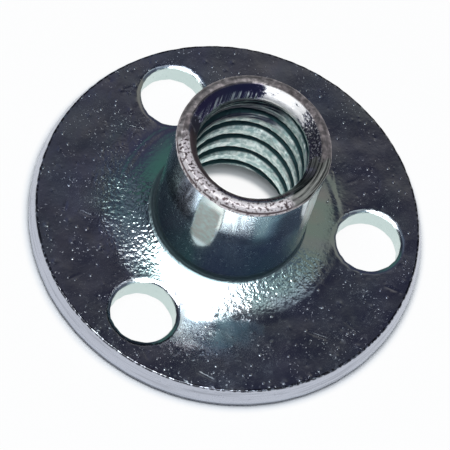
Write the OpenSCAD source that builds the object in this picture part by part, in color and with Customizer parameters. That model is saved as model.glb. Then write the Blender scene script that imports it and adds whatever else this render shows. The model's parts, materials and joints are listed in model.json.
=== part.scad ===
// Round-base tee nut with brad holes, 1/4-20 UNC, drawn from sheet steel in one piece.
// The flange lies on z = 0 and the threaded barrel stands up along +Z.
// Origin: centre of the flange's flat underside. Lengths in millimetres.

/* [Flange] */
// Diameter of the round flange
flange_d = 18.8; // [16:0.1:25]
// Thickness of the sheet that the nut is drawn from
sheet_t = 1.23; // [0.9:0.01:2]
// Height of the upright part of the rim, from the table to where the sheet broke away
rim_land_h = 0.6; // [0.4:0.05:0.7]
// How far the rim leans in above that part, up to the sharp upper edge
rim_lean_w = 0.23; // [0.05:0.01:0.3]
// Width over which the top of the flange falls gently towards that edge
rim_fall_w = 0.5; // [0.2:0.05:0.8]
// Radius of that fall, seen in section
rim_fall_r = 8; // [4:0.5:12]
// Radius of the rolled edge that touches the table
rim_foot_r = 0.2; // [0.05:0.01:0.3]

/* [Flare] */
// Diameter at which the flange begins to rise towards the barrel
flare_d = 12; // [11.5:0.1:13]
// Radius that the flange rises with
flare_r = 8; // [6:0.1:12]
// Radius of the tight inner corner between the flange and the barrel
corner_r = 0.3; // [0.1:0.05:0.6]

/* [Die ring] */
// Diameter of the faint ring that the edge of the draw die left on the flare
ring_d = 10.5; // [10.2:0.1:10.8]
// Height of the ring
ring_h = 0.01; // [0.005:0.005:0.05]
// Width of the ring
ring_w = 0.3; // [0.2:0.05:0.5]

/* [Brad holes] */
// Number of brad holes, evenly spaced
brad_count = 3; // [2:1:4]
// Diameter of a brad hole
brad_d = 3.1; // [2:0.1:3.4]
// Diameter of the circle through the centres of the brad holes
brad_pcd = 13.5; // [13:0.1:14]
// Width of the roll round the top of a hole, where the punch went in
brad_roll_w = 0.25; // [0.1:0.01:0.3]
// Radius of that roll, seen in section
brad_roll_r = 0.5; // [0.35:0.05:1]
// Depth of the broken-out edge at the bottom of a hole
brad_break = 0.07; // [0.02:0.01:0.2]

/* [Barrel] */
// Height of the whole nut, from the table to the lip
nut_h = 8.6; // [7.5:0.1:16]
// Outside diameter of the plain part of the barrel
barrel_d = 7.2; // [7:0.01:7.3]
// Outside diameter of the lip, which the countersink has belled out
lip_d = 7.37; // [7.35:0.01:7.6]
// Height of the part below the lip over which the barrel bells out
bell_h = 3.4; // [2.6:0.1:4.6]
// Radius on the outer edge of the lip
lip_r = 0.1; // [0.05:0.01:0.15]

/* [Bore] */
// Diameter of the bore over the crests of the thread
minor_d = 5.25; // [4.9:0.01:5.4]
// Diameter of the countersink at the lip
sink_d = 6.84; // [6.4:0.01:6.9]
// Depth of the countersink
sink_depth = 0.44; // [0.3:0.01:0.8]
// Radius that the drawn sheet turns up into the bore with, on the underside
mouth_r = 2; // [1:0.1:2.2]

/* [Grip marks] */
// Number of marks pressed into the barrel by the gripping jaws
grip_count = 4; // [2:1:4]
// Angle of the first mark about +Z
grip_turn = 64.5; // [0:0.5:90]
// Depth of a mark at its deepest
grip_depth = 0.055; // [0.02:0.005:0.1]
// How far below the lip a mark is deepest
grip_drop = 2.65; // [1.6:0.05:3]
// Height from the foot of a mark, where it runs out, to its deepest place
grip_rise = 2.1; // [1.8:0.05:2.4]

/* [Hidden] */
$fn = 192;

flange_r = flange_d / 2;
barrel_r = barrel_d / 2;
bore_r = minor_d / 2;
sink_r = sink_d / 2;
brad_r = brad_d / 2;
over = 0.5;                       // how far a cut runs past the face that it opens
bite = 0.0005;                    // how far a corner's circle crosses the arc that it blends with

rim_lean = rim_lean_w / (sheet_t - rim_land_h);
fall_centre = [flange_r - rim_lean_w - rim_fall_w, sheet_t - rim_fall_r];

flare_centre = [flare_d / 2, sheet_t + flare_r];
corner_x = barrel_r + corner_r - bite;
corner_centre = [
    corner_x,
    flare_centre.y - sqrt(sq(flare_r - corner_r + bite) - sq(flare_centre.x - corner_x)),
];
corner_touch = flare_centre + (corner_centre - flare_centre) * flare_r / (flare_r - corner_r);
corner_deep = 2 * corner_touch - corner_centre;
ring_top = flare_centre.y - sqrt(sq(flare_r) - sq(flare_centre.x - ring_d / 2)) + ring_h;
ring_ball_r = arc_radius(ring_w / 2, ring_h);
bell_foot = nut_h - bell_h;
bell_r = arc_radius(bell_h, (lip_d - barrel_d) / 2);
grip_z = nut_h - grip_drop;
grip_r = arc_radius(grip_rise, grip_depth);

function sq(x) = x * x;

// Radius of an arc that starts square to a line and leaves it by rise over a length of run
function arc_radius(run, rise) = (sq(run) + sq(rise)) / (2 * rise);

// What a rounded corner loses, as a flat shape. The corner is at p, and out points away from
// the material along each axis, as -1 or 1.
module corner_loss(p, r, out) {
    difference() {
        translate([p.x + (out.x > 0 ? -r : -over), p.y + (out.y > 0 ? -r : -over)])
            square(r + over);
        translate([p.x - out.x * r, p.y - out.y * r])
            circle(r = r);
    }
}

// How far from the axis the leaning part of the rim is at height z
function rim_x(z) = flange_r - rim_lean * (z - rim_land_h);

// What the rim loses: outside its leaning part, and above the fall of the flange's top
module rim_loss() {
    polygon([
        [rim_x(rim_land_h / 2), rim_land_h / 2],
        [flange_r + 2 * over, rim_land_h / 2],
        [flange_r + 2 * over, sheet_t + over],
        [rim_x(sheet_t + over), sheet_t + over],
    ]);
    difference() {
        translate([fall_centre.x, sheet_t - rim_fall_r / 2])
            square([rim_fall_w + rim_lean_w + over, rim_fall_r / 2 + over]);
        translate(fall_centre)
            circle(r = rim_fall_r);
    }
}

// Rising foot of the barrel: the flare, and the tight corner where it meets the barrel
module flare() {
    difference() {
        square([flare_centre.x, corner_centre.y + corner_r]);
        translate(flare_centre)
            circle(r = flare_r);
    }
    difference() {
        polygon([
            corner_centre,
            [barrel_r - corner_r, corner_centre.y],
            [barrel_r - corner_r, corner_deep.y],
            corner_deep,
        ]);
        translate(corner_centre)
            circle(r = corner_r);
    }
}

// Low bead that stands for the mark of the die's edge
module die_ring() {
    translate([ring_d / 2, ring_top - ring_ball_r])
        intersection() {
            circle(r = ring_ball_r);
            translate([-ring_w, ring_ball_r - sheet_t / 2])
                square([2 * ring_w, sheet_t]);
        }
}

// Barrel with its belled top, solid to the axis
module barrel() {
    square([barrel_r, nut_h]);
    difference() {
        translate([0, bell_foot])
            square([lip_d / 2, bell_h]);
        translate([barrel_r + bell_r, bell_foot])
            circle(r = bell_r);
    }
}

// Half section of the bore, its countersink and its flared underside
module drawn_inside() {
    translate([0, -over])
        square([bore_r, nut_h + 2 * over]);
    polygon([
        [0, nut_h - sink_depth],
        [bore_r, nut_h - sink_depth],
        [sink_r, nut_h],
        [sink_r, nut_h + over],
        [0, nut_h + over],
    ]);
    corner_loss([bore_r, 0], mouth_r, [-1, -1]);
}

// The whole turned form, with its rolled and rounded edges
module turned_form() {
    rotate_extrude()
        difference() {
            union() {
                square([flange_r, sheet_t]);
                flare();
                die_ring();
                barrel();
            }
            drawn_inside();
            rim_loss();
            corner_loss([flange_r, 0], rim_foot_r, [1, -1]);
            corner_loss([lip_d / 2, nut_h], lip_r, [1, 1]);
        }
}

// One punched hole, as the space that it takes out of the flange
module brad_punch() {
    translate([0, 0, -over])
        cylinder(r = brad_r, h = sheet_t + 2 * over);
    rotate_extrude()
        difference() {
            translate([0, sheet_t - brad_roll_r / 2])
                square([brad_r + brad_roll_w, brad_roll_r / 2 + over]);
            translate([brad_r + brad_roll_w, sheet_t - brad_roll_r])
                circle(r = brad_roll_r);
        }
    cylinder(r1 = brad_r + brad_break, r2 = brad_r, h = brad_break);
}

// One jaw, whose crowned face leaves a mark that is deepest at grip_z and runs out below
module grip_jaw() {
    intersection() {
        translate([barrel_r - grip_depth + grip_r, 0, grip_z])
            rotate([90, 0, 0])
                cylinder(r = grip_r, h = barrel_d, center = true);
        translate([0, -barrel_r, grip_z - grip_rise])
            cube([barrel_d, barrel_d, nut_h]);
    }
}

module tee_nut() {
    color("lightsteelblue")
        difference() {
            turned_form();
            for (i = [0 : brad_count - 1])
                rotate([0, 0, i * 360 / brad_count])
                    translate([brad_pcd / 2, 0, 0])
                        brad_punch();
            for (i = [0 : grip_count - 1])
                rotate([0, 0, grip_turn + i * 360 / grip_count])
                    grip_jaw();
        }
}

tee_nut();
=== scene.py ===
"""Looks of a zinc-plated round-base tee nut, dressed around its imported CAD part.

The nut is one piece. Its visual mesh follows the CAD solid, reads the drawn form more closely in
places, and adds what the solid leaves out: the helical thread, the serrated edges of punched and
cut sheet, the specks and scratches of loose bulk parts, and the small unevenness of a drawn and
tumbled sheet. The mesh is in metres, in the row frame.
"""
import json
import math
import random

import bpy
import numpy as np
from mathutils import Matrix, Vector, geometry


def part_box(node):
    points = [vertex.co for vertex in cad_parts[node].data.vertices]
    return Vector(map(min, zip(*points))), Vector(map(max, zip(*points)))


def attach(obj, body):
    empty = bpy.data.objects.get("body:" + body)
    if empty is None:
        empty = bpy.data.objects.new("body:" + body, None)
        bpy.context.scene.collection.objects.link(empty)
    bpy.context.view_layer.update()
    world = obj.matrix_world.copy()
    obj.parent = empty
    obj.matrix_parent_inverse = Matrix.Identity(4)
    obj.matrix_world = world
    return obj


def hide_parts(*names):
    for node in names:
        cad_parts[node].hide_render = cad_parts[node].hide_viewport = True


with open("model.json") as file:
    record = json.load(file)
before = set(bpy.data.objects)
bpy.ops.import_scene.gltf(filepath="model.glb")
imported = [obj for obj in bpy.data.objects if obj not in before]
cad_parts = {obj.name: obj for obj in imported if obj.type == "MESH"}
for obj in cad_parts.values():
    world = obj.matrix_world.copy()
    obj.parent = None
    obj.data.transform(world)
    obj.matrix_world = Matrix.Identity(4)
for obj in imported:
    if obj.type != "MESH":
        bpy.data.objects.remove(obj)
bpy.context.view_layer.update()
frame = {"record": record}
MM = 0.001
TAU = 2 * math.pi

# --- Sizes read from the frame ---

NODE = "tee_nut"
_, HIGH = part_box(NODE)
MOUNTS = {m["name"]: m for m in frame["record"]["mounts"]}
FLANGE_R = HIGH.x
NUT_H = HIGH.z
SHEET_T = MOUNTS["seat"]["pos_m"][2]
BORE_R = MOUNTS["thread"]["dims"]["r_mm"] * MM
BRAD_R = MOUNTS["brad_holes"]["dims"]["hole_r_mm"] * MM
BRAD_CIRCLE_R = MOUNTS["brad_holes"]["dims"]["pcd_mm"] * MM / 2
BRAD_COUNT = MOUNTS["brad_holes"]["dims"]["count"]

# --- Sizes of the drawn form ---
# Most are the solid's. The rim's fall, the inner corner, the bell, the lip, the countersink and
# the die ring are read more closely.

RIM_LAND_H = 0.6 * MM  # height of the upright part of the rim
RIM_LEAN_W = 0.23 * MM  # how far the rim leans in above it
RIM_FALL_W = 0.5 * MM  # width of the slight fall of the top towards the rim
RIM_FALL_R = 40 * MM  # radius of that fall, seen in section
RIM_FOOT_R = 0.2 * MM  # of the rolled edge that touches the table
RIM_EDGE_R = 0.03 * MM  # of the sharp upper edge
BRAD_ROLL_W = 0.25 * MM  # width of the roll round the top of a brad hole
BRAD_ROLL_R = 0.5 * MM  # radius of that roll, seen in section
BRAD_BREAK = 0.07 * MM  # of the broken-out edge at the bottom of a hole
FLARE_OUTER_R = 6.0 * MM  # where the flange begins to rise towards the barrel
FLARE_R = 8.0 * MM  # radius that it rises with
CORNER_R = 0.2 * MM  # of the tight inner corner at the barrel's foot
CORNER_UNEVEN = 0.08 * MM  # how much more it is on one side, and less on the other
CORNER_WIDE_AT = math.radians(170)
BARREL_R = 3.6 * MM  # of the barrel's plain part
BELL_FOOT = 5.7 * MM  # height at which the barrel begins to bell out
LIP_OUTER_R = 3.66 * MM  # that the bell would have at the lip, if it weren't rolled
LIP_R = 0.30 * MM  # the drawn corner, rolled over further by wear
SINK_R = 3.20 * MM  # of the countersink, at the lip
SINK_DEPTH = 0.575 * MM
SHALLOW_DEPTH = 0.38 * MM  # its depth on the side that is shallow
TORN_R = 2.90 * MM  # where it has hardly bitten, the wall is steep down to this radius
TORN_DEPTH = 0.10 * MM  # which it has at this depth
MOUTH_R = 2.0 * MM  # of the turn from the underside into the bore
RING_R = 5.25 * MM  # of the faint ring that the die's edge left on the flare
RING_H = 0.016 * MM
RING_W = 0.3 * MM
RING_FAINT = 0.15  # how much of its height is left where it has been rubbed away
# Where it stands out: angle, half width, strength
RING_SEEN = [(150, 28, 1.0), (340, 25, 0.35), (25, 22, 0.9)]
GRIP_FIRST = math.radians(64.5)  # where the first jaw has gripped the barrel
GRIP_COUNT = 4
GRIP_DEPTH = 0.055 * MM
GRIP_Z = 5.95 * MM  # where a mark is deepest
GRIP_FOOT = 3.85 * MM  # where it runs out below
GRIP_RAISE = [0, 0, 0, 1.5 * MM]  # how much higher each jaw has bitten
GRIP_MARGIN = 0.05 * MM  # a jaw moves only what is this far outside the countersink

# A side of the nut is its direction in degrees about +Z from +X, and the cosines of the angles
# off that direction at which it begins and is full
SHALLOW_SIDE = (64, 0.66, 0.94)  # where the countersink is shallow
BLUNT_SIDE = (250, 0.0, 0.5)  # where it has hardly bitten

# --- The thread: 1/4-20 UNC ---

PITCH = 1.27 * MM
THREAD_DEPTH = 0.55 * MM
ROOT_FLAT = PITCH / 8
FLANK_RUN = THREAD_DEPTH * math.tan(math.radians(30))
THREAD_FULL = 7.35 * MM  # up to here the groove has its full depth
THREAD_END = 7.95 * MM  # and here it has run out
THREAD_PHASE = 0.0  # height of a groove's middle where the helix starts, at +X

# --- Wear that can be placed in the photograph: (radius in mm, angle in degrees) ---

SPECKS = [(6.48, 206.5), (8.83, 207.4), (6.76, 328.3), (8.85, 320.6), (8.67, 313.0),
          (9.0, 289.3), (8.94, 293.9), (9.0, 298.8), (9.02, 272.2), (9.0, 264.3), (8.91, 233.5),
          (7.68, 193.4), (7.69, 201.7), (9.0, 301.9), (8.9, 305.7), (8.75, 194.6)]
SCRATCHES = [((7.17, 189.3), (6.66, 191.4)), ((6.51, 144.5), (5.92, 140.5)),
             ((8.47, 267.1), (8.69, 271.7)), ((6.97, 309.8), (7.64, 313.8)),
             ((8.14, 344.2), (8.65, 344.3)), ((7.74, 186.0), (7.84, 189.5)),
             ((5.84, 36.2), (5.46, 22.5))]
SPECK_R = 0.09 * MM
SPECK_H = 0.014 * MM
SCRATCH_W = 0.06 * MM
SCRATCH_D = 0.007 * MM

# --- Wear that is strewn at random ---

SEED = 5
STRAY_SPECKS = 150
STRAY_SPECK_RADII = (4.9, 9.0)  # millimetres from the axis
STRAY_SPECK_SIZES = (0.35, 0.8)  # parts of a placed one's
STRAY_SCRATCHES = 26
STRAY_SCRATCH_RADII = (5.2, 8.7)
STRAY_SCRATCH_LENGTHS = (0.2, 0.8)  # millimetres
STRAY_SCRATCH_DEPTHS = (0.3, 0.7)  # parts of a placed one's
WAVES = 28  # plane waves that a ripple is the sum of
WAVE_SPREAD = (0.7, 1.4)  # how their lengths differ from the ripple's own
# Ripples: pairs of wavelength and root mean square height, both in millimetres
TOP_RIPPLES = [(2.6, 0.004), (1.1, 0.0010), (0.42, 0.0003)]
LIP_RIPPLES = [(0.35, 0.003), (1.6, 0.008)]

# --- Mesh fineness ---

WELD = 0.0005 * MM  # points that are this close are one vertex
SHARP_ANGLE = math.radians(35)  # beyond this an edge is shaded as a sharp one
TURN_STEPS = 360  # round the barrel and the bore
RIM_STEPS = 720  # round the rim
HOLE_STEPS = 96  # round a brad hole
TOP_GRID = 0.12 * MM  # spacing of the points that fill the flange's top
TOP_EDGE_GRID = 0.5 * TOP_GRID  # their spacing near its edges
MARK_CLEARANCE = 0.45 * TOP_GRID  # how far they keep from the points of specks and scratches
BACK_GRID = 0.3 * MM  # spacing of the points that fill the underside
EDGE_CLEARANCE = 0.6  # how far fill points keep from an edge, in spacings
EDGE_SLACK = 0.001  # how far past an edge still counts as on it, in spacings
TOP_INNER_R = 4.8 * MM  # inside the brad holes, where the turned barrel takes over
TOP_OUTER_R = 9.05 * MM  # where the rim's profile takes over
BACK_INNER_R = BORE_R + MOUTH_R
BACK_OUTER_R = FLANGE_R - RIM_FOOT_R
LEVEL_BAND = 0.6 * MM  # depth below the lip down to which the bore's rows are level
LEVEL_ROWS = 9
ROWS_PER_PITCH = 12  # below it, where the rows climb with the thread
FLARE_STEPS = 12  # steps along the sections, from here on
CORNER_STEPS = 7
BARREL_STEPS = 17
BELL_STEPS = 17
LIP_STEPS = 5
LIP_FLAT_STEPS = 3
EDGE_STEPS = 4
LEAN_STEPS = 6
LAND_STEPS = 3
FOOT_STEPS = 6
ROLL_STEPS = 6
HOLE_WALL_STEPS = 6


# --- Profiles ---

def arc(centre, radius, start, end, steps):
    """Points of an arc in the (r, z) half plane, angles in degrees, both ends included."""
    angles = np.radians(np.linspace(start, end, steps + 1))
    return [(centre[0] + radius * math.cos(a), centre[1] + radius * math.sin(a)) for a in angles]


def line(start, end, steps):
    """Evenly spaced points after start, up to and including end."""
    return [tuple(np.array(start) + (np.array(end) - start) * k / steps)
            for k in range(1, steps + 1)]


def fillet(before, corner, after, radius, steps):
    """Points of an arc that rounds the corner between two straight stretches."""
    corner = np.array(corner)
    u = (np.array(before) - corner) / math.dist(before, corner)
    v = (np.array(after) - corner) / math.dist(after, corner)
    half = math.acos(np.dot(u, v)) / 2
    centre = corner + (u + v) / np.linalg.norm(u + v) * radius / math.sin(half)
    start = corner + u * radius / math.tan(half)
    end = corner + v * radius / math.tan(half)
    from_angle, to_angle = (math.degrees(math.atan2(*(p - centre)[::-1])) for p in (start, end))
    return arc(centre, radius, from_angle, to_angle, steps)


def smooth_step(value, low, high):
    """0 below low and 1 above high, smooth between."""
    t = np.clip((value - low) / (high - low), 0, 1)
    return t * t * (3 - 2 * t)


def arc_radius(run, rise):
    """Radius of an arc that starts square to a line and leaves it by rise over a length of run."""
    return (run ** 2 + rise ** 2) / (2 * rise)


def on_side(angle, side):
    """1 on a side of the nut and 0 off it, smooth between."""
    turn, low, high = side
    return smooth_step(math.cos(angle - math.radians(turn)), low, high)


def ring_strength(x, y):
    """How much of the die ring's height is left at an angle."""
    turn = math.degrees(math.atan2(y, x))
    left = RING_FAINT
    for middle, half, strength in RING_SEEN:
        away = abs((turn - middle + 180) % 360 - 180) / half
        left = max(left, strength * (1 - away ** 2))
    return left


def flange_top(x, y):
    """Height of the flange's upper side: flare, die ring, flat and fall to the rim."""
    r = math.hypot(x, y)
    inward = max(0.0, FLARE_OUTER_R - r)
    outward = max(0.0, r - (FLANGE_R - RIM_LEAN_W - RIM_FALL_W))
    z = SHEET_T + FLARE_R - math.sqrt(FLARE_R ** 2 - inward ** 2)
    z -= RIM_FALL_R - math.sqrt(RIM_FALL_R ** 2 - outward ** 2)
    if abs(r - RING_R) > RING_W:
        return z
    ring_z = SHEET_T + FLARE_R - math.sqrt(FLARE_R ** 2 - (FLARE_OUTER_R - RING_R) ** 2)
    ball_r = arc_radius(RING_W / 2, RING_H)
    bead = math.sqrt(max(0.0, ball_r ** 2 - (r - RING_R) ** 2))
    return z + ring_strength(x, y) * max(0.0, ring_z + RING_H - ball_r + bead - z)


def barrel_radius(z):
    """Outside radius of the barrel at height z, above the inner corner."""
    above = max(0.0, z - BELL_FOOT)
    bell_r = arc_radius(NUT_H - BELL_FOOT, LIP_OUTER_R - BARREL_R)
    return BARREL_R + bell_r - math.sqrt(bell_r ** 2 - above ** 2)


def barrel_profile(turn):
    """From the flare through the tight corner, up the barrel and over the lip to the sink."""
    corner_r = CORNER_R + CORNER_UNEVEN * math.cos(turn - CORNER_WIDE_AT)
    corner_x = BARREL_R + corner_r
    inward = FLARE_OUTER_R - corner_x
    corner_z = SHEET_T + FLARE_R - math.sqrt((FLARE_R - corner_r) ** 2 - inward ** 2)
    lean = math.degrees(math.asin(inward / (FLARE_R - corner_r)))
    start = math.degrees(math.asin((FLARE_OUTER_R - TOP_INNER_R) / FLARE_R))
    flare_centre = (FLARE_OUTER_R, SHEET_T + FLARE_R)
    points = arc(flare_centre, FLARE_R, 270 - start, 270 - lean, FLARE_STEPS)
    points += arc((corner_x, corner_z), corner_r, 270 - lean, 180, CORNER_STEPS)[1:]
    points += line(points[-1], (BARREL_R, BELL_FOOT), BARREL_STEPS)
    bell = np.linspace(BELL_FOOT, NUT_H - LIP_R, BELL_STEPS + 1)[1:]
    points += [(barrel_radius(z), z) for z in bell]
    lip_x = points[-1][0] - LIP_R
    points += arc((lip_x, NUT_H - LIP_R), LIP_R, 0, 90, LIP_STEPS)[1:]
    points += line(points[-1], (SINK_R, NUT_H), LIP_FLAT_STEPS)
    return points


def rim_profile():
    """From the top of the flange over its sharp edge and down the rim to the underside."""
    edge = (FLANGE_R - RIM_LEAN_W, flange_top(FLANGE_R - RIM_LEAN_W, 0))
    land = (FLANGE_R, RIM_LAND_H)
    before = edge[0] - 2 * RIM_EDGE_R
    points = [(TOP_OUTER_R, flange_top(TOP_OUTER_R, 0)), (before, flange_top(before, 0))]
    points += fillet(points[1], edge, land, RIM_EDGE_R, EDGE_STEPS)
    points += line(points[-1], land, LEAN_STEPS)
    points += line(land, (FLANGE_R, RIM_FOOT_R), LAND_STEPS)
    points += arc((FLANGE_R - RIM_FOOT_R, RIM_FOOT_R), RIM_FOOT_R, 0, -90, FOOT_STEPS)[1:]
    return points


def mouth_radius(z):
    """Radius of the bore's flared underside at height z, or 0 above it."""
    if z >= MOUTH_R:
        return 0.0
    return BORE_R + MOUTH_R - math.sqrt(MOUTH_R ** 2 - (MOUTH_R - z) ** 2)


def groove_radius(angle, z):
    """Radius of the threaded wall, between crest and root."""
    away = (z - THREAD_PHASE) / PITCH - angle / TAU
    away = abs(away - round(away)) * PITCH
    climb = (away - ROOT_FLAT / 2) / FLANK_RUN
    depth = THREAD_DEPTH * (1 - smooth_step(z, THREAD_FULL, THREAD_END))
    return BORE_R + depth * min(1.0, max(0.0, 1 - climb))


def sink_radius(angle, z):
    """The countersink's wall: shallow on one side, and hardly bitten where the lip is torn."""
    deep = NUT_H - z
    depth = SINK_DEPTH + on_side(angle, SHALLOW_SIDE) * (SHALLOW_DEPTH - SINK_DEPTH)
    even = SINK_R - deep * (SINK_R - BORE_R) / depth
    torn = np.interp(deep, (0, TORN_DEPTH, SINK_DEPTH), (SINK_R, TORN_R, BORE_R))
    return even + (torn - even) * on_side(angle, BLUNT_SIDE) if deep < SINK_DEPTH else even


def bore_radius(angle, z):
    """The bore's wall: thread, countersink or flared mouth, whichever is widest there."""
    return max(groove_radius(angle, z), sink_radius(angle, z), mouth_radius(z))


# --- Building the mesh ---

class Shell:
    """Vertices and faces that grow patch by patch. Patches share their border points."""

    def __init__(self):
        self.points = []
        self.faces = []
        self.found = {}

    def vertex(self, p):
        key = tuple(round(c / WELD) for c in p)
        if key not in self.found:
            self.found[key] = len(self.points)
            self.points.append(tuple(p))
        return self.found[key]

    def face(self, corners):
        unique = [c for i, c in enumerate(corners) if c != corners[i - 1]]
        if len(unique) >= 3:
            self.faces.append(unique)

    def grid(self, rows, closed=True):
        """Joins rows of points, each row a ring when closed. Faces wind with the rows."""
        ids = [[self.vertex(p) for p in row] for row in rows]
        for a, b in zip(ids, ids[1:]):
            count = len(a) if closed else len(a) - 1
            for i in range(count):
                j = (i + 1) % len(a)
                self.face([a[i], a[j], b[j], b[i]])


def circle(r, steps, centre=(0.0, 0.0)):
    turns = [TAU * i / steps for i in range(steps)]
    return [(centre[0] + r * math.cos(t), centre[1] + r * math.sin(t)) for t in turns]


def hole_centres():
    for i in range(BRAD_COUNT):
        turn = TAU * i / BRAD_COUNT
        yield BRAD_CIRCLE_R * math.cos(turn), BRAD_CIRCLE_R * math.sin(turn)


def add_turned(shell, profile, steps):
    """Sweeps a half section round the axis. The section may depend on the angle."""
    turns = [TAU * i / steps for i in range(steps)]
    sections = [profile(turn) for turn in turns]
    shell.grid([[(r * math.cos(turn), r * math.sin(turn), z)
                 for turn, (r, z) in zip(turns, level)] for level in zip(*sections)])


def add_bore(shell):
    """The bore: level rows through the countersink, then rows that climb with the thread."""
    levels = list(np.linspace(NUT_H, NUT_H - LEVEL_BAND, LEVEL_ROWS + 1))
    turns = [TAU * i / TURN_STEPS for i in range(TURN_STEPS + 1)]
    heights = [[z] * len(turns) for z in levels]
    row_step = PITCH / ROWS_PER_PITCH
    for k in range(math.ceil(levels[-1] / row_step), -ROWS_PER_PITCH - 1, -1):
        climb = [THREAD_PHASE % row_step + k * row_step + PITCH * turn / TAU for turn in turns]
        heights.append([min(levels[-1], max(0.0, z)) for z in climb])
    rows = []
    for row in heights:
        radii = [bore_radius(turn, z) for turn, z in zip(turns, row)]
        rows.append([(r * math.cos(turn), r * math.sin(turn), z)
                     for turn, r, z in zip(turns, radii, row)])
    shell.grid(rows, closed=False)


def in_sheet(x, y, inner_r, outer_r, hole_r, margin):
    """Whether a point lies on the flange, clear of its edges and holes by a margin."""
    if not inner_r + margin < math.hypot(x, y) < outer_r - margin:
        return False
    return all(math.hypot(x - hx, y - hy) > hole_r + margin for hx, hy in hole_centres())


def grid_points(outer_r, spacing):
    """Points of a triangular grid that covers a disc."""
    row_step = spacing * math.sqrt(0.75)
    rows = int(outer_r / row_step) + 1
    for j in range(-rows, rows + 1):
        for i in range(-rows, rows + 1):
            yield (i + 0.5 * (j % 2)) * spacing, j * row_step


def add_sheet(shell, inner, outer, hole_r, height, fill, spacing, facing_up):
    """One side of the flange between its inner ring, its rim and its holes.

    inner and outer are pairs of radius and step count. fill is the points between, and spacing
    is how far apart they should be near an edge.
    """
    points = [Vector(p) for p in fill
              if in_sheet(*p, inner[0], outer[0], hole_r, EDGE_CLEARANCE * spacing)]
    edges = []
    loops = [circle(*inner), circle(*outer)]
    loops += [circle(hole_r, HOLE_STEPS, c) for c in hole_centres()]
    for loop in loops:
        start = len(points)
        points += [Vector(p) for p in loop]
        edges += [(start + i, start + (i + 1) % len(loop)) for i in range(len(loop))]
    flat, _, triangles, _, _, _ = geometry.delaunay_2d_cdt(points, edges, [], 0, 1e-9)
    for tri in triangles:
        x, y = (sum(flat[v][k] for v in tri) / 3 for k in (0, 1))
        if not in_sheet(x, y, inner[0], outer[0], hole_r, -EDGE_SLACK * spacing):
            continue
        corners = [shell.vertex((*flat[v], height(*flat[v]))) for v in tri]
        shell.face(corners if facing_up else corners[::-1])


def add_brad_holes(shell):
    """Each hole's wall, from the rolled edge that follows the flange's top to its broken edge."""
    lean = math.degrees(math.asin(BRAD_ROLL_W / BRAD_ROLL_R))
    roll = arc((BRAD_R + BRAD_ROLL_W, -BRAD_ROLL_R), BRAD_ROLL_R, 90, 90 + lean, ROLL_STEPS)
    wall = line((BRAD_R, SHEET_T + roll[-1][1]), (BRAD_R, BRAD_BREAK), HOLE_WALL_STEPS)
    wall += [(BRAD_R + BRAD_BREAK, 0.0)]
    for centre in hole_centres():
        rows = []
        for r, drop in roll:
            rows.append([(x, y, flange_top(x, y) + drop)
                         for x, y in circle(r, HOLE_STEPS, centre)])
        for r, z in wall:
            rows.append([(x, y, z) for x, y in circle(r, HOLE_STEPS, centre)])
        shell.grid(rows)


# --- Marks and unevenness ---

def polar(r, degrees):
    """A point from a radius in millimetres and an angle."""
    turn = math.radians(degrees)
    return r * MM * math.cos(turn), r * MM * math.sin(turn)


def list_marks(rng):
    """Specks as (x, y, height, radius) and scratches as (start, end, depth)."""
    specks = [(*polar(*place), SPECK_H, SPECK_R) for place in SPECKS]
    for _ in range(STRAY_SPECKS):
        x, y = polar(rng.uniform(*STRAY_SPECK_RADII), rng.uniform(0, 360))
        size = rng.uniform(*STRAY_SPECK_SIZES)
        specks.append((x, y, rng.choice((-1, 1)) * SPECK_H * size, SPECK_R * size))
    scratches = [(polar(*a), polar(*b), SCRATCH_D) for a, b in SCRATCHES]
    for _ in range(STRAY_SCRATCHES):
        x, y = polar(rng.uniform(*STRAY_SCRATCH_RADII), rng.uniform(0, 360))
        turn = rng.uniform(0, TAU)
        length = rng.uniform(*STRAY_SCRATCH_LENGTHS) * MM
        end = (x + length * math.cos(turn), y + length * math.sin(turn))
        scratches.append(((x, y), end, SCRATCH_D * rng.uniform(*STRAY_SCRATCH_DEPTHS)))
    return specks, scratches


def mark_points(specks, scratches):
    """Points that the top of the flange needs in order to carry its marks."""
    points = []
    for x, y, _, r in specks:
        points.append((x, y))
        points += circle(r, 6, (x, y)) + circle(2 * r, 8, (x, y))
    for start, end, _ in scratches:
        start, end = np.array(start), np.array(end)
        steps = max(2, int(math.dist(start, end) / (1.2 * SCRATCH_W)))
        across = (end - start)[::-1] * (1, -1) / math.dist(start, end)
        for k in range(steps + 1):
            middle = start + (end - start) * k / steps
            points += [tuple(middle + across * side * SCRATCH_W) for side in (-1, 0, 1)]
    return points


def thin_grid(points, marks, cell):
    """Grid points that keep clear of the marks' own, which are looked up by cell."""
    near = {}
    for x, y in marks:
        near.setdefault((round(x / cell), round(y / cell)), []).append((x, y))
    for x, y in points:
        cx, cy = round(x / cell), round(y / cell)
        others = [p for dx in (-1, 0, 1) for dy in (-1, 0, 1)
                  for p in near.get((cx + dx, cy + dy), ())]
        if all(math.dist((x, y), p) > MARK_CLEARANCE for p in others):
            yield x, y


def ripple(points, wavelength, height, rng):
    """A random smooth field with a given wavelength and root mean square height."""
    total = np.zeros(len(points))
    for _ in range(WAVES):
        direction = np.array([rng.gauss(0, 1) for _ in range(points.shape[1])])
        direction *= TAU / wavelength * rng.uniform(*WAVE_SPREAD) / np.linalg.norm(direction)
        total += np.cos(points @ direction + rng.uniform(0, TAU))
    return total * height * math.sqrt(2 / WAVES)


def ripples(points, waves, rng):
    """The sum of ripples, from pairs of wavelength and height in millimetres."""
    return sum(ripple(points, length * MM, height * MM, rng) for length, height in waves)


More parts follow.
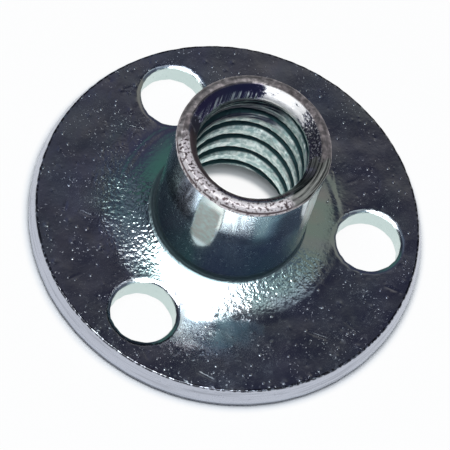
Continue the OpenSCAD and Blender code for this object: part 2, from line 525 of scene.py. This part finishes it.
def press_grips(p):
    """Cuts points of the barrel back to the crowned faces of the jaws."""
    jaw_r = arc_radius(GRIP_Z - GRIP_FOOT, GRIP_DEPTH)
    z = p[:, 2]
    wall = np.hypot(p[:, 0], p[:, 1]) > SINK_R + GRIP_MARGIN
    for i in range(GRIP_COUNT):
        crown = jaw_r - np.sqrt(jaw_r ** 2 - (z - GRIP_Z - GRIP_RAISE[i]) ** 2)
        limit = BARREL_R - GRIP_DEPTH + crown
        outside = wall & (z > GRIP_FOOT + GRIP_RAISE[i])
        turn = GRIP_FIRST + TAU * i / GRIP_COUNT
        out = np.array([math.cos(turn), math.sin(turn)])
        reach = p[:, :2] @ out
        cut = np.where(outside & (reach > limit), reach - limit, 0)
        p[:, :2] -= cut[:, None] * out


def span(value, low, high):
    """smooth_step between millimetres."""
    return smooth_step(value, low * MM, high * MM)


def mark_top(dz, top, flat, specks, scratches):
    """Raises and lowers the flange's top at its specks and scratches."""
    for x, y, height, radius in specks:
        away = (flat[:, 0] - x) ** 2 + (flat[:, 1] - y) ** 2
        dz += top * height * np.exp(-away / radius ** 2)
    for start, end, depth in scratches:
        a, b = np.array(start), np.array(end)
        along = np.clip(((flat - a) @ (b - a)) / ((b - a) @ (b - a)), 0, 1)
        away = np.sum((flat - a - along[:, None] * (b - a)) ** 2, axis=1)
        bank = 0.4 * np.exp(-away / (1.4 * SCRATCH_W) ** 2)
        groove = 1.4 * np.exp(-away / (0.6 * SCRATCH_W) ** 2)
        dz += top * depth * (bank - groove)


def roughen_rim(dr, dz, wheel, r, z, rng):
    """Serrates the rim's edge, face and land. Wavelengths are parts of the flange's radius."""
    edge = span(r, 9.12, 9.17) * smooth_step(z, 0.75 * SHEET_T, SHEET_T)
    dz += edge * (np.abs(ripple(wheel, 0.045, 0.004 * MM, rng)) - 0.003 * MM)
    dz += edge * ripple(wheel, 0.022, 0.002 * MM, rng)
    broken = span(r, 9.15, 9.17) * span(z, 0.5, 0.72)
    ring = np.concatenate([wheel, z[:, None] / (3 * MM)], axis=1)
    dr += broken * ripple(ring, 0.06, 0.005 * MM, rng)
    land = span(r, 9.3, 9.39) * (1 - broken)
    dr += land * ripple(ring * (1, 1, 0.1), 0.12, 0.004 * MM, rng)


def roughen_barrel(dr, dz, p, flat, r, rng):
    """Marks the barrel, wears the lip, and roughens the countersink and the thread."""
    z = p[:, 2]
    wall = span(r, 3.3, 3.5) * (1 - span(r, 3.9, 4.3))
    dr += wall * (ripple(p * (1, 1, 0.25), 0.9 * MM, 0.0025 * MM, rng)
                  + ripple(p * (1, 1, 0.12), 0.3 * MM, 0.0006 * MM, rng))
    lip = smooth_step(z, NUT_H - 0.3 * MM, NUT_H - 0.05 * MM) * span(r, 3.1, 3.4)
    dz += lip * ripples(flat, LIP_RIPPLES, rng)
    dr += lip * ripple(flat, 0.6 * MM, 0.002 * MM, rng)
    sink = smooth_step(z, NUT_H - 0.6 * MM, NUT_H - 0.4 * MM) * (1 - wall)
    dr += sink * ripple(p * (1, 1, 2.5), 0.5 * MM, 0.0015 * MM, rng)
    thread = (1 - span(r, 3.3, 3.4)) * (1 - sink) * span(z, 0, 0.6)
    dr += thread * ripple(p, 0.35 * MM, 0.006 * MM, rng)


def roughen_holes(dz, top, p, flat, rng):
    """Makes the brad holes' rolls uneven, and moves the points of their walls."""
    x, y, _ = p.T
    for hx, hy in hole_centres():
        away = np.hypot(x - hx, y - hy)
        around = 1 - smooth_step(away, BRAD_R + 0.3 * MM, BRAD_R + 0.5 * MM)
        inside = 1 - smooth_step(away, BRAD_R + 0.02 * MM, BRAD_R + 0.1 * MM)
        dz += around * top * ripple(flat, 0.4 * MM, 0.002 * MM, rng)
        push = inside * ripple(p * (1, 1, 0.35), 0.45 * MM, 0.008 * MM, rng) / away.clip(BRAD_R)
        p[:, 0] += push * (x - hx)
        p[:, 1] += push * (y - hy)


def weather(p, specks, scratches, rng):
    """Moves the points of the mesh, in place, from the drawn form to a real stamping."""
    x, y, z = p.T
    r = np.hypot(x, y)
    turn = np.arctan2(y, x)
    wheel = np.stack([np.cos(turn), np.sin(turn)], axis=1)
    flat = np.stack([x, y], axis=1)
    top = smooth_step(z, 0.6 * SHEET_T, 0.95 * SHEET_T) * span(r, 3.9, 4.6)
    dr = np.zeros(len(p))
    dz = top * ripples(flat, TOP_RIPPLES, rng)
    mark_top(dz, top, flat, specks, scratches)
    roughen_rim(dr, dz, wheel, r, z, rng)
    roughen_barrel(dr, dz, p, flat, r, rng)
    roughen_holes(dz, top, p, flat, rng)
    p[:, 0] += dr * wheel[:, 0]
    p[:, 1] += dr * wheel[:, 1]
    p[:, 2] += dz


def nut_mesh():
    rng = random.Random(SEED)
    specks, scratches = list_marks(rng)
    marks = mark_points(specks, scratches)
    top_fill = marks + list(thin_grid(grid_points(TOP_OUTER_R, TOP_GRID), marks, TOP_GRID))
    back_fill = grid_points(BACK_OUTER_R, BACK_GRID)
    shell = Shell()
    add_turned(shell, barrel_profile, TURN_STEPS)
    add_bore(shell)
    add_turned(shell, lambda turn: rim_profile()[::-1], RIM_STEPS)
    add_sheet(shell, (TOP_INNER_R, TURN_STEPS), (TOP_OUTER_R, RIM_STEPS), BRAD_R + BRAD_ROLL_W,
              flange_top, top_fill, TOP_EDGE_GRID, True)
    add_sheet(shell, (BACK_INNER_R, TURN_STEPS), (BACK_OUTER_R, RIM_STEPS), BRAD_R + BRAD_BREAK,
              lambda x, y: 0.0, back_fill, BACK_GRID, False)
    add_brad_holes(shell)
    points = np.array(shell.points)
    press_grips(points)
    weather(points, specks, scratches, rng)
    mesh = bpy.data.meshes.new("tee_nut_zinc")
    mesh.from_pydata(points.tolist(), [], shell.faces)
    mesh.validate()
    mesh.shade_smooth()
    mesh.set_sharp_from_angle(angle=SHARP_ANGLE)
    nut = bpy.data.objects.new("tee_nut_zinc", mesh)
    bpy.context.scene.collection.objects.link(nut)
    return nut


# --- Node helpers ---

class Nodes:
    """Short ways to add nodes to a tree. A value is a number, a colour or a node's socket."""

    def __init__(self, tree):
        self.tree = tree

    def add(self, kind, inputs=None, **settings):
        """A new ShaderNode of a kind, with its settings, and its inputs by name or number."""
        node = self.tree.nodes.new("ShaderNode" + kind)
        for name, value in settings.items():
            setattr(node, name, value)
        for name, value in (inputs or {}).items():
            if isinstance(value, bpy.types.NodeSocket):
                self.tree.links.new(value, node.inputs[name])
            else:
                node.inputs[name].default_value = value
        return node

    def maths(self, operation, *values):
        return self.add("Math", dict(enumerate(values)), operation=operation).outputs[0]

    def in_turn(self, operation, values):
        """The first value, joined with each of the others in turn."""
        result = values[0]
        for value in values[1:]:
            result = self.maths(operation, result, value)
        return result

    def times(self, *values):
        return self.in_turn("MULTIPLY", values)

    def plus(self, *values):
        return self.in_turn("ADD", values)

    def most(self, *values):
        return self.in_turn("MAXIMUM", values)

    def measure(self, operation, *vectors):
        """The length, distance or dot product of vectors."""
        node = self.add("VectorMath", dict(enumerate(vectors)), operation=operation)
        return node.outputs["Value"]

    def fade(self, value, low, high):
        """0 below low and 1 above high, smooth between. high may be the smaller of the two."""
        inputs = {"Value": value, "From Min": low, "From Max": high}
        return self.add("MapRange", inputs, interpolation_type="SMOOTHSTEP").outputs[0]

    def noise(self, vector, scale, detail=2.0, low=0.0, high=1.0):
        """Noise stretched so that low to high of it fills 0 to 1."""
        noise = self.add("TexNoise", {"Vector": vector, "Scale": scale, "Detail": detail})
        inputs = {"Value": noise.outputs["Fac"], "From Min": low, "From Max": high}
        return self.add("MapRange", inputs).outputs[0]

    def blend(self, factor, first, second):
        """A colour between two others."""
        inputs = {0: factor, 6: first, 7: second}
        return self.add("Mix", inputs, data_type="RGBA").outputs[2]

    def millimetres(self):
        """The point's place on its object, in millimetres."""
        place = self.add("TexCoord").outputs["Object"]
        inputs = {0: place, "Scale": 1 / MM}
        return self.add("VectorMath", inputs, operation="SCALE").outputs[0]

    def brad_holes(self, place, edge):
        """1 in the brad holes, out to a radius in millimetres."""
        mask = 0.0
        for x, y in hole_centres():
            away = self.measure("DISTANCE", place, (x / MM, y / MM, 0))
            mask = self.most(mask, self.fade(away, edge, edge - HOLE_BLUR))
        return mask


# --- Zinc plating ---

ZINC = (0.56, 0.58, 0.64, 1)
TEAL = (0.44, 0.62, 0.61, 1)
BLUE = (0.51, 0.54, 0.67, 1)
WARM = (0.60, 0.58, 0.60, 1)
PLAIN = (0.58, 0.70, 0.68, 1)
RIM = (0.49, 0.52, 0.60, 1)
# Darker grey for the rim's faint lines, and painted shade where the rim's rolled foot meets the
# table
RIM_LINES_AND_FOOT_SHADE = (0.15, 0.16, 0.19, 1)
WALL = (0.50, 0.66, 0.68, 1)
# Painted shadow in a band round the barrel's wall, reaching higher on one side
PAINTED_SHADOW_BAND = (0.30, 0.38, 0.43, 1)
# Painted shade on one side of the barrel's wall
PAINTED_WALL_SHADE = (0.15, 0.17, 0.18, 1)
BRUSHED = (0.40, 0.41, 0.39, 1)
SCUFFED = (0.04, 0.045, 0.045, 1)
LIP = (0.20, 0.185, 0.19, 1)
LIP_WORN = (0.62, 0.56, 0.57, 1)
TORN = (0.86, 0.83, 0.85, 1)
# Light mint: the bore's grain, the countersink's chatter, and the painted highlight on one side of
# the barrel's wall
MINT = (0.90, 1.00, 0.97, 1)
# Painted highlight: a white side of the countersink, and white glints on its gritty side
PAINTED_HIGHLIGHT = (1.0, 1.0, 1.0, 1)
SHADED = (0.05, 0.058, 0.085, 1)
# The plating's violet tint, darkened as painted shade, on one side of the countersink
VIOLET_AND_SHADE = (0.22, 0.20, 0.34, 1)
# Painted shade deep in the thread's grooves
GROOVE_SHADE = (0.04, 0.09, 0.10, 1)
# Painted shade in the tight corner at the barrel's foot
CREASE_SHADE = (0.19, 0.26, 0.28, 1)
# Painted shade on two sides of the countersink, one of which is also gritty
PAINTED_SINK_SHADE = (0.12, 0.12, 0.16, 1)
# Dark pits of the torn lip, painted shade under its torn edge, and a dark line inside the lip
PITS_AND_EDGE_SHADE = (0.17, 0.13, 0.14, 1)
# Painted shade in dark patches just inside the rim's top edge
PAINTED_RIM_EDGE_SHADE = (0.04, 0.042, 0.055, 1)

# Parts of the nut that look different: the radii and the heights, in millimetres, where a part's
# mask is 0 and where it is 1. A side is a direction in degrees about +Z from +X, and the cosines
# of the angles off it for 0 and 1, which are higher where noise is added.
PARTS = {
    "rim": {"r": (9.12, 9.18), "z": (1.225, 1.19)},
    "painted shade at rim's foot": {"z": (0.34, 0.26)},
    "nicked edge": {"r": (9.07, 9.11), "z": (1.12, 1.17)},
    "drawn flange": {"r": (6.5, 5.2), "z": (3.4, 2.0)},
    "most grained": {"side": (305, 0.70, 0.93)},
    "less grained": {"side": (195, 0.70, 0.93)},
    "outside": {"r": (3.45, 3.5)},
    "wall": {"r": (3.8, 3.7), "z": (1.8, 2.4)},
    "crease_shade": {"r": (3.82, 3.76), "z": (2.2, 1.9)},
    "band of shadow": {"z": (6.25, 5.85)},
    "band's foot": {"z": (5.0, 5.5)},
    "band's high side": {"side": (325, 0.60, 1.0)},
    "painted highlight on wall": {"z": (5.7, 6.5), "side": (267, 0.86, 0.97)},
    "painted shade on wall": {"z": (4.6, 5.6), "side": (210, 0.88, 0.97)},
    "above grip's foot": {"z": (4.1, 4.6)},
    "below grip's top": {"z": (8.0, 7.3)},
    "inside": {"r": (3.40, 3.37)},
    "bore": {"z": (8.06, 8.00)},
    "shaded grooves": {"r": (2.79, 2.87)},
    "shaded bore": {"z": (5.95, 6.25), "side": (125, 0.25, 0.60)},
    "sink": {"z": (8.00, 8.06)},
    "violet sink with painted shade": {"side": (125, 0.88, 0.98)},
    "chatter": {"z": (8.36, 8.22)},
    "bright sink": {"side": (68, 1.08, 1.20)},
    "dim sink": {"side": (190, 0.55, 0.70)},
    "gritty sink with painted shade": {"side": (18, 0.80, 0.90)},
    "lip": {"r": (3.08, 3.18), "z": (8.20, 8.30)},
    "torn lip": {"z": (8.16, 8.24), "side": (245, 0.52, 0.70)},
    "shade under torn edge": {"r": (3.57, 3.61), "z": (8.36, 8.41)},
    "shade under torn edge's top": {"z": (8.51, 8.47)},
    "torn line": {"r": (3.06, 3.01), "side": (245, 0.30, 0.45)},
    "brushed lip": {"r": (3.64, 3.60), "z": (8.06, 8.12), "side": (330, 0.93, 1.0)},
}
NARROW_TOWARDS = math.radians(305)  # where the drawn part of the flange is narrowest
CROSSWAYS = math.radians(169)  # along which the painted shade of the thread's grooves grows wider towards its ends
BAND_RISE = 1.9  # how much higher the band of shadow reaches on its high side
GRIP_ACROSS = (0.78, 0.62)  # distance from a grip mark's middle, where its mask is 0 and 1
GRIP_REACH = (3.2, 3.3)  # the same for the distance from the axis, towards the jaw
HOLE_R = 1.62  # out to here a brad hole is plain
HOLE_BLUR = 0.06  # width of that mask's soft edge
ROUGHNESS = 0.075  # where nothing has dulled the plating
BUMP_HEIGHT = 0.014 * MM  # of a relief of 1


class Zinc(Nodes):
    """The plating: masks of its parts, and what they look like, with painted shade and painted
    highlights in the colour of some.
    """

    def __init__(self, tree):
        super().__init__(tree)
        self.mm = self.millimetres()
        x, y, self.z = self.add("SeparateXYZ", {0: self.mm}).outputs
        self.flat = self.add("CombineXYZ", {0: x, 1: y}).outputs[0]
        self.r = self.measure("LENGTH", self.flat)
        self.ragged = self.noise(self.mm, 2.2, 4.0, 0.3, 0.7)
        self.mottled = self.noise(self.mm, 4.0, 4.0, 0.40, 0.62)
        self.rolled = self.stretched(0.12, 0.12, 5.0)
        self.find_flange()
        self.find_barrel()
        self.find_grips()
        self.find_bore()
        self.find_countersink()
        self.find_lip()

    def towards(self, turn):
        """How far the point lies from the axis, measured in a direction."""
        return self.measure("DOT_PRODUCT", self.flat, (math.cos(turn), math.sin(turn), 0))

    def facing(self, turn):
        """Cosine of the angle between a direction and the point's own."""
        return self.maths("DIVIDE", self.towards(turn), self.r)

    def stretched(self, *scale):
        """The point's place, scaled along each axis."""
        return self.add("VectorMath", {0: self.mm, 1: scale}, operation="MULTIPLY").outputs[0]

    def part(self, name, *within, r=None, z=None, wander=None):
        """The mask of one of PARTS, within other masks.

        r and z stand in for the point's own, and wander is noise added to a side's cosine.
        """
        place = PARTS[name]
        masks = list(within)
        if "r" in place:
            masks.append(self.fade(r or self.r, *place["r"]))
        if "z" in place:
            masks.append(self.fade(z or self.z, *place["z"]))
        if "side" in place:
            turn, low, high = place["side"]
            cosine = self.facing(math.radians(turn))
            masks.append(self.fade(self.plus(cosine, wander) if wander else cosine, low, high))
        return self.times(*masks)

    # Masks

    def find_flange(self):
        self.rim = self.part("rim")
        # patches of painted shade just inside the rim's top edge
        self.nicked = self.part("nicked edge", self.noise(self.mm, 5.0, 2.0, 0.42, 0.50))
        self.holes = self.brad_holes(self.flat, HOLE_R)
        narrowed = self.plus(self.r, self.times(self.facing(NARROW_TOWARDS), 0.9))
        self.drawn = self.part("drawn flange", r=narrowed)
        grained = self.most(self.part("most grained"), self.times(self.part("less grained"), 0.7))
        self.grained = self.times(self.drawn, self.plus(self.times(grained, 0.85), 0.15))

    def find_barrel(self):
        outside = self.part("outside")
        self.wall = self.part("wall", outside)
        # a painted highlight on one side of the barrel's wall
        self.white = self.part("painted highlight on wall", self.wall)
        # painted shade on one side of the barrel's wall
        self.wall_shade = self.part("painted shade on wall", self.wall)
        # a band of painted shadow round the barrel's wall, reaching higher on one side
        rise = self.times(self.part("band's high side"), BAND_RISE)
        self.band = self.part("band of shadow", outside, self.part("band's foot"),
                              z=self.maths("SUBTRACT", self.z, rise))
        # painted shade in the corner at the barrel's foot, wider where the corner is wider
        uneven = self.times(self.facing(CORNER_WIDE_AT), CORNER_UNEVEN / MM)
        self.crease_shade = self.part("crease_shade", outside,
                                r=self.maths("SUBTRACT", self.r, uneven))

    def find_grips(self):
        wander = self.times(self.noise(self.mm, 2.5, 3.0), 0.25)
        marks = 0.0
        for i in range(GRIP_COUNT):
            turn = GRIP_FIRST + TAU * i / GRIP_COUNT
            across = self.maths("ABSOLUTE", self.towards(turn + math.pi / 2))
            mark = self.times(self.fade(self.plus(across, wander), *GRIP_ACROSS),
                              self.fade(self.towards(turn), *GRIP_REACH))
            marks = self.most(marks, mark)
        self.grips = self.times(marks, self.part("above grip's foot"),
                                self.part("below grip's top"))

    def find_bore(self):
        self.inside = self.part("inside")
        self.bore = self.part("bore", self.inside)
        # painted shade deep in the thread's grooves, wider along CROSSWAYS
        sideways = self.times(self.maths("ABSOLUTE", self.towards(CROSSWAYS)), 0.065)
        self.deep = self.part("shaded grooves", self.bore, r=self.plus(self.r, sideways))
        patchy = self.fade(self.noise(self.rolled, 3.0, 2.0), 0.80, 0.45)
        self.shaded = self.part("shaded bore", self.bore, patchy)

    def find_countersink(self):
        sink = self.part("sink", self.inside)
        streaked = self.noise(self.stretched(1, 1, 6), 3.0, 3.0)
        # the plating's violet tint, darkened as painted shade, on one side of the countersink
        self.violet = self.part("violet sink with painted shade", sink, wander=self.times(streaked, 0.25))
        crosswise = self.add("CombineXYZ", {0: self.towards(CROSSWAYS)}).outputs[0]
        self.chatter = self.part("chatter", self.violet,
                                 self.noise(crosswise, 8.0, 2.0, 0.47, 0.57))
        not_violet = self.times(sink, self.fade(self.violet, 0.6, 0.0))
        # a painted highlight on one side of the countersink
        self.bright = self.part("bright sink", not_violet, wander=self.times(streaked, 0.5))
        # painted shade on one side of the countersink, and below on its gritty side, which is also
        # rougher and bumpier
        self.dim = self.part("dim sink", not_violet)
        self.grit_and_shade = self.part("gritty sink with painted shade", sink, self.fade(self.bright, 0.6, 0.0))
        self.torn_line = self.part("torn line", sink)

    def find_lip(self):
        self.lip = self.part("lip")
        self.torn = self.part("torn lip", wander=self.times(self.ragged, 0.3))
        self.brushed = self.part("brushed lip", wander=self.times(self.ragged, 0.15))
        # painted shade along the underside of the lip's torn outer edge
        self.torn_edge_shade = self.part("shade under torn edge", self.part("shade under torn edge's top"), self.torn,
                                   self.fade(self.ragged, 0.1, 0.3))

    # Colour, as layers of mask and tint; some tints are painted shade and painted highlights

    def flange_layers(self):
        blue = self.noise(self.mm, 0.33, 2.0, 0.46, 0.66)
        teal = self.times(self.noise(self.mm, 0.45, 1.0, 0.42, 0.60),
                          self.plus(self.times(self.drawn, 0.6), 0.2))
        warm = self.times(self.noise(self.mm, 0.6, 2.0, 0.54, 0.70), 0.4)
        return [(blue, BLUE), (teal, TEAL), (warm, WARM)]

    def barrel_layers(self):
        scuffed = self.blend(self.times(self.mottled, 0.6), BRUSHED, TEAL)
        return [(self.times(self.wall, 0.8), WALL), (self.band, PAINTED_SHADOW_BAND),
                (self.white, MINT), (self.wall_shade, PAINTED_WALL_SHADE),
                (self.holes, PLAIN), (self.grips, scuffed)]

    def rim_layers(self):
        faint = self.noise(self.stretched(0.3, 0.3, 8.0), 1.2, 3.0, 0.50, 0.66)
        return [(self.rim, RIM), (self.times(self.rim, faint, 0.35), RIM_LINES_AND_FOOT_SHADE),
                (self.times(self.nicked, 0.9), PAINTED_RIM_EDGE_SHADE),
                # painted shade at the rim's rolled foot, where it meets the table
                (self.part("painted shade at rim's foot", self.rim), RIM_LINES_AND_FOOT_SHADE)]

    def bore_layers(self):
        granular = self.blend(self.mottled, TEAL, MINT)
        return [(self.bore, granular), (self.shaded, SHADED), (self.deep, GROOVE_SHADE)]

    def countersink_layers(self):
        # white painted glints strewn over the countersink's gritty side
        painted_glints = self.times(self.grit_and_shade, self.noise(self.mm, 12.0, 2.0, 0.54, 0.62))
        return [(self.violet, VIOLET_AND_SHADE), (self.times(self.chatter, 0.8), MINT),
                (self.bright, PAINTED_HIGHLIGHT), (self.most(self.grit_and_shade, self.dim), PAINTED_SINK_SHADE),
                (painted_glints, PAINTED_HIGHLIGHT)]

    def lip_layers(self):
        worn = self.blend(self.times(self.mottled, self.ragged), LIP, LIP_WORN)
        along = {0: self.times(self.r, 7.0), 1: self.times(self.z, 7.0),
                 2: self.times(self.towards(CROSSWAYS), 0.8)}
        combed = self.add("CombineXYZ", along).outputs[0]
        combed = self.noise(combed, 1.0, 3.0, 0.42, 0.60)
        combed = self.blend(combed, SCUFFED, BRUSHED)
        pitted = self.times(self.torn, self.noise(self.mm, 7.0, 3.0, 0.50, 0.62))
        return [(self.lip, worn), (self.brushed, combed), (self.torn, TORN),
                (self.most(pitted, self.torn_edge_shade, self.torn_line), PITS_AND_EDGE_SHADE)]

    def colour(self):
        layers = self.flange_layers() + self.barrel_layers() + self.rim_layers()
        layers += self.bore_layers() + [(self.crease_shade, CREASE_SHADE)]
        layers += self.countersink_layers() + self.lip_layers()
        colour = ZINC
        for mask, tint in layers:
            colour = self.blend(mask, colour, tint)
        return colour

    # Roughness and relief

    def roughness(self):
        smudge = self.noise(self.mm, 0.9, 4.0, 0.35, 0.7)
        haze = self.noise(self.mm, 0.38, 2.0, 0.50, 0.64)
        flecks = self.noise(self.mm, 3.5, 3.0, 0.56, 0.70)
        dust = self.times(self.noise(self.mm, 9.0, 2.0, 0.62, 0.70),
                          self.noise(self.mm, 1.1, 2.0, 0.42, 0.60))
        rougher = [(smudge, 0.035), (haze, 0.03), (flecks, 0.05), (dust, 0.25),
                   (self.rim, 0.16), (self.holes, 0.2), (self.wall, 0.05), (self.grips, 0.2),
                   (self.crease_shade, 0.28), (self.bore, 0.4), (self.chatter, 0.4),
                   (self.bright, 0.35), (self.grit_and_shade, 0.3), (self.dim, 0.4),
                   (self.lip, 0.45), (self.torn, 0.1), (self.brushed, 0.2)]
        return self.plus(ROUGHNESS, *[self.times(part, more) for part, more in rougher])

    def specks(self):
        """Small round bumps of many sizes."""
        cells = self.add("TexVoronoi", {"Vector": self.mm, "Scale": 3.0})
        size = self.add("SeparateColor", {0: cells.outputs["Color"]}).outputs[0]
        return self.times(self.fade(size, 0.45, 1.0),
                          self.fade(cells.outputs["Distance"], 0.26, 0.04))

    def relief(self):
        """Height of the plating: orange peel, grit, rolling marks on the rim, and specks."""
        peeled = self.times(self.noise(self.mm, 5.0, 1.0),
                            self.plus(self.times(self.grained, 2.0), 0.12))
        gritty = self.plus(self.times(self.plus(self.bore, self.torn), 1.4), 0.08,
                           self.times(self.grit_and_shade, 2.0), self.times(self.grained, 0.6))
        gritty = self.times(self.noise(self.mm, 9.0, 2.0), gritty)
        height = self.times(self.plus(peeled, gritty), self.maths("SUBTRACT", 1.0, self.wall))
        rolling = self.times(self.rim, self.noise(self.rolled, 2.0, 2.0), 1.2)
        return self.plus(height, rolling, self.times(self.specks(), 0.55))


def zinc_material():
    mat = bpy.data.materials.new("zinc_plate")
    mat.use_nodes = True
    tree = mat.node_tree
    shader = tree.nodes["Principled BSDF"]
    zinc = Zinc(tree)
    tree.links.new(zinc.colour(), shader.inputs["Base Color"])
    tree.links.new(zinc.roughness(), shader.inputs["Roughness"])
    shader.inputs["Metallic"].default_value = 1.0
    bump = zinc.add("Bump", {"Height": zinc.relief(), "Strength": 1.0, "Distance": BUMP_HEIGHT})
    tree.links.new(bump.outputs[0], shader.inputs["Normal"])
    return mat


# --- Floor ---

FLOOR_HALF_W = 1.5
FLOOR_COLOUR = (0.90, 0.94, 0.98, 1)
FLOOR_LIFT = 0.92  # how far the camera sees it nearer to white than it is lit
SHADOW_LIFT = 0.08  # the part of that which the shadow round the bore's mouth gets
# Radii in millimetres where the lift is 0 and 1: round the nut, in the bore and round its mouth
CLEAR_ROUND_R = (9.4, 9.8)
CLEAR_BORE_R = (3.05, 2.65)
CLEAR_MOUTH_R = (4.0, 3.6)
CLEAR_HOLE_R = 1.67  # out to here it is lifted in a brad hole


def floor_material():
    """A pale floor that is nearly white where the camera sees it in the open."""
    mat = bpy.data.materials.new("pale_floor")
    mat.use_nodes = True
    tree = mat.node_tree
    nodes = Nodes(tree)
    shader = tree.nodes["Principled BSDF"]
    shader.inputs["Base Color"].default_value = FLOOR_COLOUR
    shader.inputs["Roughness"].default_value = 0.9
    shader.inputs["Specular IOR Level"].default_value = 0.0
    white = nodes.add("Emission", {"Color": (1, 1, 1, 1), "Strength": 1.0})
    path = nodes.add("LightPath").outputs
    seen = nodes.most(path["Is Camera Ray"], path["Is Glossy Ray"], path["Is Transmission Ray"])
    place = nodes.millimetres()
    r = nodes.measure("LENGTH", place)
    mouth = nodes.times(nodes.fade(r, *CLEAR_MOUTH_R), SHADOW_LIFT)
    clear = nodes.most(nodes.fade(r, *CLEAR_ROUND_R), nodes.brad_holes(place, CLEAR_HOLE_R),
                       nodes.fade(r, *CLEAR_BORE_R), mouth)
    lift = nodes.times(seen, nodes.times(clear, FLOOR_LIFT))
    mix = nodes.add("MixShader", {0: lift, 1: shader.outputs[0], 2: white.outputs[0]})
    tree.links.new(mix.outputs[0], tree.nodes["Material Output"].inputs["Surface"])
    return mat


def lay_floor():
    mesh = bpy.data.meshes.new("floor")
    half = FLOOR_HALF_W
    mesh.from_pydata([(-half, -half, 0), (half, -half, 0), (half, half, 0), (-half, half, 0)],
                     [], [(0, 1, 2, 3)])
    floor = bpy.data.objects.new("floor", mesh)
    bpy.context.scene.collection.objects.link(floor)
    mesh.materials.append(floor_material())


# --- Camera ---

CAMERA_TURN = math.radians(-10.9)  # 0 looks along +Y
CAMERA_RISE = math.radians(60.9)
CAMERA_ROLL = math.radians(19.9)
CAMERA_DISTANCE = 27.9 * FLANGE_R
CAMERA_AIM = (-0.0011 * FLANGE_R, 0.0165 * FLANGE_R)  # before the camera's turn
PIXELS_PER_RADIUS = 198.2  # of the flange's radius, in a picture 450 pixels wide
PICTURE_W = 450
SENSOR_W = 36.0


def place_camera():
    """The camera that was fitted to the photograph."""
    data = bpy.data.cameras.new("camera")
    data.sensor_width = SENSOR_W
    data.lens = PIXELS_PER_RADIUS * CAMERA_DISTANCE / FLANGE_R / PICTURE_W * SENSOR_W
    camera = bpy.data.objects.new("camera", data)
    bpy.context.scene.collection.objects.link(camera)
    bpy.context.scene.camera = camera
    back = Vector((math.sin(CAMERA_TURN) * math.cos(CAMERA_RISE),
                   -math.cos(CAMERA_TURN) * math.cos(CAMERA_RISE), math.sin(CAMERA_RISE)))
    right = (-back).cross(Vector((0, 0, 1))).normalized()
    up = back.cross(right)
    rolled_right = right * math.cos(CAMERA_ROLL) + up * math.sin(CAMERA_ROLL)
    rolled_up = up * math.cos(CAMERA_ROLL) - right * math.sin(CAMERA_ROLL)
    aim = Matrix.Rotation(CAMERA_TURN, 3, "Z") @ Vector((*CAMERA_AIM, 0))
    camera.matrix_world = Matrix((rolled_right, rolled_up, back)).transposed().to_4x4()
    camera.matrix_world.translation = aim + back * CAMERA_DISTANCE


# --- Light ---

LAMP_HEIGHT = 0.4
LAMP_LEAN = (-0.109, -0.134)  # sideways offset per metre of height
LAMP_SPREAD = (0.395, 0.338)  # half width and half depth per metre of height
LAMP_TURN = math.radians(-38.0)  # of its width, about +Z from +X
LAMP_RADIANCE = 6.6
ROOM = (0.060, 0.063, 0.102, 1)
# Soft patches of the room: angle about +Z from +X, rise, half width (degrees), colour
PATCHES = [
    (259, 0, 60, (0.060, 0.095, 0.105)),
    (165, 30, 35, (0.032, 0.036, 0.052)),
    (38, 50, 22, (0.29, 0.28, 0.24)),
    (112, 36, 14, (0.08, 0.17, 0.15)),
    (285, 42, 30, (0.045, 0.055, 0.10)),
    (62, 66, 10, (0.026, 0.028, 0.048)),
    (26, 67, 8, (0.62, 0.70, 0.70)),
    (325, 68, 9, (0.34, 0.47, 0.50)),
    (122, 66, 9, (0.14, 0.18, 0.22)),
    (10, 55, 12, (0.12, 0.14, 0.18)),
    (84, 73, 3.5, (1.6, 1.7, 1.7)),
]
PATCH_EDGE = 1.5  # where a patch ends, in half widths
PATCH_CORE = 0.5  # up to where it has its full colour


def hang_lamp():
    """An oval soft lamp that lies level overhead."""
    half_width, half_depth = (spread * LAMP_HEIGHT for spread in LAMP_SPREAD)
    data = bpy.data.lights.new("overhead", "AREA")
    data.shape = "ELLIPSE"
    data.size = 2 * half_width
    data.size_y = 2 * half_depth
    data.energy = LAMP_RADIANCE * math.pi * math.pi * half_width * half_depth
    lamp = bpy.data.objects.new("overhead", data)
    bpy.context.scene.collection.objects.link(lamp)
    lamp.location = (LAMP_LEAN[0] * LAMP_HEIGHT, LAMP_LEAN[1] * LAMP_HEIGHT, LAMP_HEIGHT)
    lamp.rotation_euler = (0, 0, LAMP_TURN)


def light_world():
    """A dim room with soft patches, seen in the plating."""
    world = bpy.data.worlds.new("studio")
    bpy.context.scene.world = world
    world.use_nodes = True
    tree = world.node_tree
    nodes = Nodes(tree)
    looking = nodes.add("TexCoord").outputs["Generated"]
    looking = nodes.add("VectorMath", {0: looking}, operation="NORMALIZE").outputs[0]
    colour = nodes.add("RGB").outputs[0]
    colour.default_value = ROOM
    for turn, rise, width, tint in PATCHES:
        turn, rise = math.radians(turn), math.radians(rise)
        middle = (math.cos(turn) * math.cos(rise), math.sin(turn) * math.cos(rise),
                  math.sin(rise))
        near = nodes.measure("DOT_PRODUCT", looking, middle)
        edge = math.cos(math.radians(width * PATCH_EDGE))
        core = math.cos(math.radians(width * PATCH_CORE))
        colour = nodes.blend(nodes.fade(near, edge, core), colour, (*tint, 1))
    tree.links.new(colour, tree.nodes["Background"].inputs["Color"])


def main():
    nut = nut_mesh()
    nut.data.materials.append(zinc_material())
    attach(nut, "root")
    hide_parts(NODE)
    place_camera()
    lay_floor()
    light_world()
    hang_lamp()
    bpy.context.scene.view_settings.view_transform = "Standard"


main()
